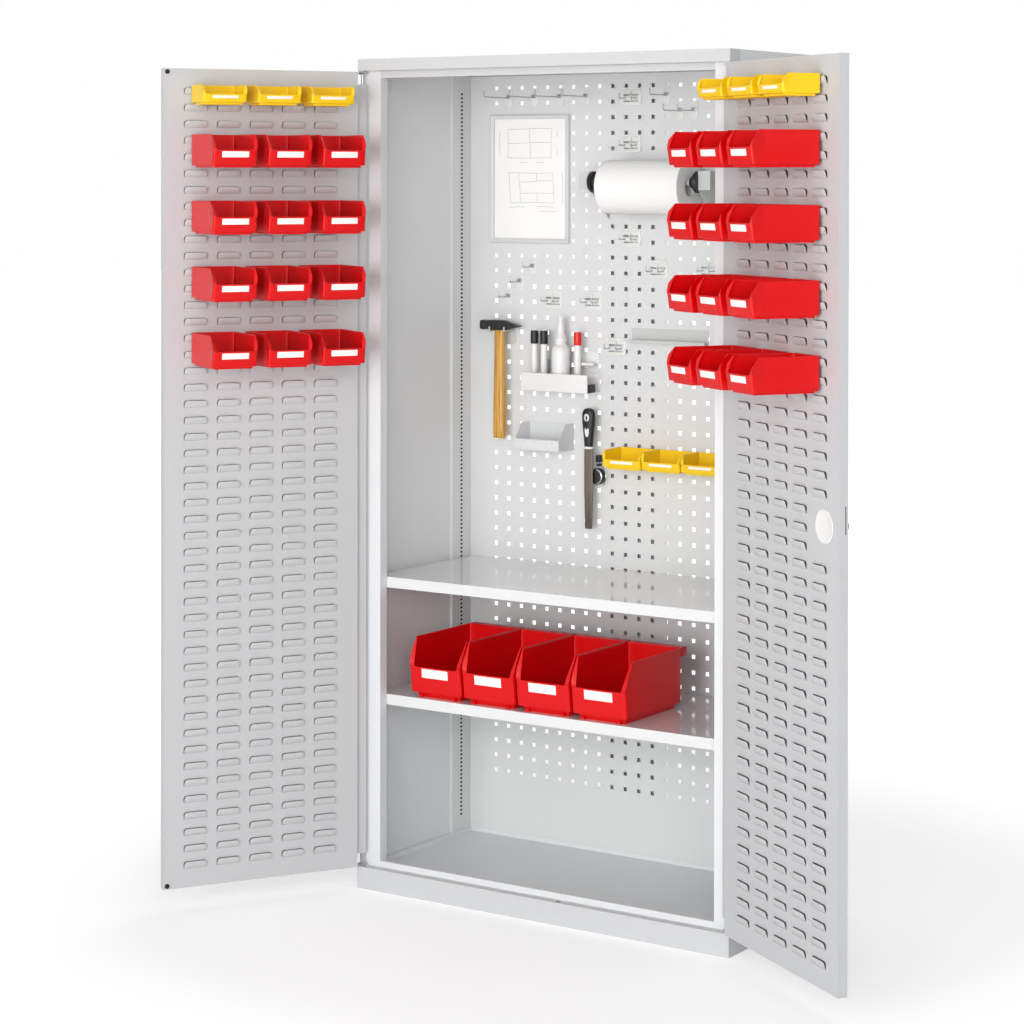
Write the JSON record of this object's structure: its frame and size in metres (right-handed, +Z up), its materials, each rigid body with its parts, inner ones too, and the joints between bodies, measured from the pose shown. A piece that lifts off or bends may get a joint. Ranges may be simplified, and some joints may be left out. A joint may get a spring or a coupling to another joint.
{
  "type": "tool cabinet",
  "caption": "Tall double-door steel tool cabinet with perforated back panel, shelves, louvred doors carrying storage bins, a locking turn handle and hung hand tools.",
  "frame": {"origin": "centre of the underside of the plinth, on the floor, under the middle of the cabinet body", "axes": "+Z up, -Y towards the person standing in front of the doors, +X to that person's right"},
  "size_m": [1.6763, 0.9379, 1.975],
  "materials": {
    "body_grey": "fine textured powder coat",
    "door_grey": "fine textured powder coat",
    "panel_grey": "smooth powder coat",
    "shelf_grey": "glossy powder coat",
    "hook_grey": "smooth light grey",
    "zinc": "zinc plated",
    "steel": "ground",
    "chrome": "polished",
    "black_steel": "black",
    "black_plastic": "fine grain",
    "white_plastic": "satin",
    "pale_plastic": "fine grain",
    "red_plastic": "satin",
    "yellow_plastic": "satin",
    "clear_plastic": "translucent",
    "rubber": "matt",
    "paper": "matt",
    "wood": "clear varnish"
  },
  "bodies": {
    "cabinet": {"left_side_panel": "body_grey", "right_side_panel": "body_grey", "top_cover": "body_grey", "top_fascia": "body_grey", "top_rail": "body_grey", "plinth": "body_grey", "floor_pan": "body_grey", "back_panel": "panel_grey", "back_stiffener": "panel_grey", "shelf_rails": "panel_grey", "lower_shelf": "shelf_grey", "upper_shelf": "shelf_grey", "shelf_clips": "zinc", "hinge_pivots": "zinc", "board_bins": "yellow_plastic", "single_hooks": "hook_grey", "double_hooks": "hook_grey", "hammer_hook": "hook_grey", "drawing_frame": "pale_plastic", "drawing_sheet": "paper", "roll_brackets": "hook_grey", "tool_ledge": "hook_grey", "pen_tray": "white_plastic", "pens_and_bottle": "white_plastic", "file_blade": "steel", "file_handle": "black_plastic", "file_clip": "black_plastic", "clear_tray": "clear_plastic"},
    "left_door": {"left_door_shell": "door_grey", "left_louvre_panel": "door_grey", "left_door_bushes": "zinc", "left_bins_1": "yellow_plastic", "left_bins_2": "red_plastic", "left_bins_3": "red_plastic", "left_bins_4": "red_plastic", "left_bins_5": "red_plastic", "door_buffers": "rubber"},
    "right_door": {"right_door_shell": "door_grey", "right_louvre_panel": "door_grey", "right_door_bushes": "zinc", "right_bins_1": "yellow_plastic", "right_bins_2": "red_plastic", "right_bins_3": "red_plastic", "right_bins_4": "red_plastic", "right_bins_5": "red_plastic", "lock_cover": "pale_plastic", "handle_rosette": "black_plastic", "rod_guides": "zinc"},
    "handle": {"turn_handle": "black_plastic", "lock_cylinder": "chrome", "lock_cam": "zinc"},
    "upper_rod": {"upper_lock_rod": "zinc"},
    "lower_rod": {"lower_lock_rod": "zinc"},
    "roll": {"paper_roll": "paper"},
    "hammer": {"hammer_head": "black_steel", "hammer_handle": "wood"},
    "bin_1": {"large_bin_1": "red_plastic"},
    "bin_2": {"large_bin_2": "red_plastic"},
    "bin_3": {"large_bin_3": "red_plastic"},
    "bin_4": {"large_bin_4": "red_plastic"}
  },
  "joints": [
    {"name": "left_door_hinge", "type": "hinge", "parent": "cabinet", "child": "left_door", "pos_m": [-0.497, -0.233, 0], "axis": [0, 0, 1], "range_deg": [-29, 121]},
    {"name": "right_door_hinge", "type": "hinge", "parent": "cabinet", "child": "right_door", "pos_m": [0.497, -0.233, 0], "axis": [0, 0, -1], "range_deg": [-2.7, 147.3]},
    {"name": "handle_turn", "type": "hinge", "parent": "right_door", "child": "handle", "pos_m": [0.86999, -0.46414, 0.992], "axis": [0.5402, 0.8415, 0], "range_deg": [0, 90]},
    {"name": "upper_rod_slide", "type": "slide", "parent": "right_door", "child": "upper_rod", "axis": [0, 0, 1], "range_m": [0, 0.014]},
    {"name": "lower_rod_slide", "type": "slide", "parent": "right_door", "child": "lower_rod", "axis": [0, 0, -1], "range_m": [0, 0.014]},
    {"name": "roll_turn", "type": "hinge", "parent": "cabinet", "child": "roll", "pos_m": [0.0726, 0.14, 1.6716], "axis": [1, 0, 0], "continuous": true},
    {"name": "hammer_lift", "type": "slide", "parent": "cabinet", "child": "hammer", "axis": [0, 0, 1], "range_m": [0, 0.03]},
    {"name": "bin_1_lift", "type": "slide", "parent": "cabinet", "child": "bin_1", "axis": [0, 0, 1], "range_m": [0, 0.06]},
    {"name": "bin_2_lift", "type": "slide", "parent": "cabinet", "child": "bin_2", "axis": [0, 0, 1], "range_m": [0, 0.06]},
    {"name": "bin_3_lift", "type": "slide", "parent": "cabinet", "child": "bin_3", "axis": [0, 0, 1], "range_m": [0, 0.06]},
    {"name": "bin_4_lift", "type": "slide", "parent": "cabinet", "child": "bin_4", "axis": [0, 0, 1], "range_m": [0, 0.06]}
  ],
  "couplings": [
    {"joint": "handle_turn", "follows": "upper_rod_slide", "rad_per_m": 112.19},
    {"joint": "lower_rod_slide", "follows": "upper_rod_slide", "ratio": 1}
  ]
}
